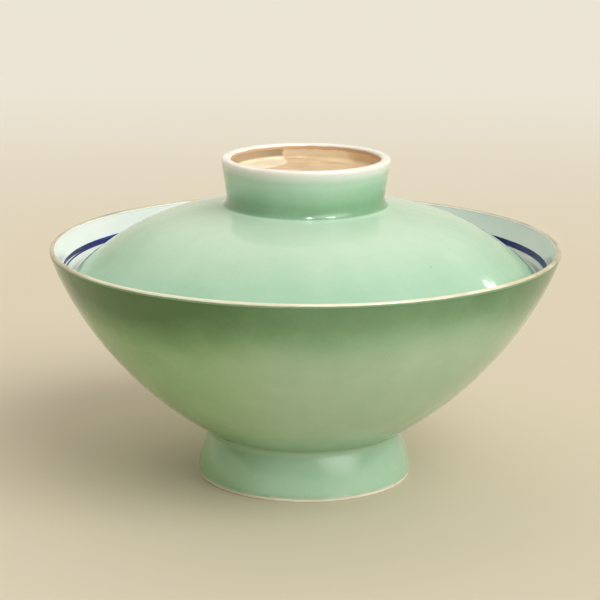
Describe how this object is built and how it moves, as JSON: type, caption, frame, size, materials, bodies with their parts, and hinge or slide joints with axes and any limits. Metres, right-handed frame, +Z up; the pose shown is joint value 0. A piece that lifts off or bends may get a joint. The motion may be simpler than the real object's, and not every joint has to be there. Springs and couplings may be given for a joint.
{
  "type": "lidded donburi bowl",
  "caption": "Footed round bowl with a domed lid that drops inside its rim, lifted by a flared ring grip, in green celadon glaze with a white inside and a blue line.",
  "frame": {"origin": "centre of the plane that the foot ring stands on", "axes": "+Z up along the axis that the bowl and lid are turned about; X and Y are any two level directions"},
  "size_m": [0.1568, 0.1568, 0.0998],
  "materials": {
    "porcelain": "fired white clay, bare",
    "celadon_glaze": "glossy green glaze, darker where it pools",
    "clear_glaze": "glossy clear glaze over white clay",
    "iron_rim": "thin pale brown iron edge under glaze",
    "cobalt": "brushed cobalt blue under glaze",
    "ochre_wash": "satin brushed ochre wash"
  },
  "bodies": {
    "bowl": {"bowl_body": "porcelain", "bowl_foot_ring": "porcelain", "bowl_celadon_glaze": "celadon_glaze", "bowl_base_glaze": "clear_glaze", "bowl_inner_glaze": "clear_glaze", "bowl_blue_band": "cobalt", "bowl_rim_edge": "iron_rim"},
    "lid": {"lid_body": "porcelain", "lid_grip": "porcelain", "lid_celadon_glaze": "celadon_glaze", "lid_inner_glaze": "clear_glaze", "lid_rim_edge": "iron_rim", "lid_well_wash": "ochre_wash"}
  },
  "joints": [
    {"name": "lid_lift", "type": "slide", "parent": "bowl", "child": "lid", "axis": [0, 0, 1], "range_m": [0, 0.12]}
  ]
}
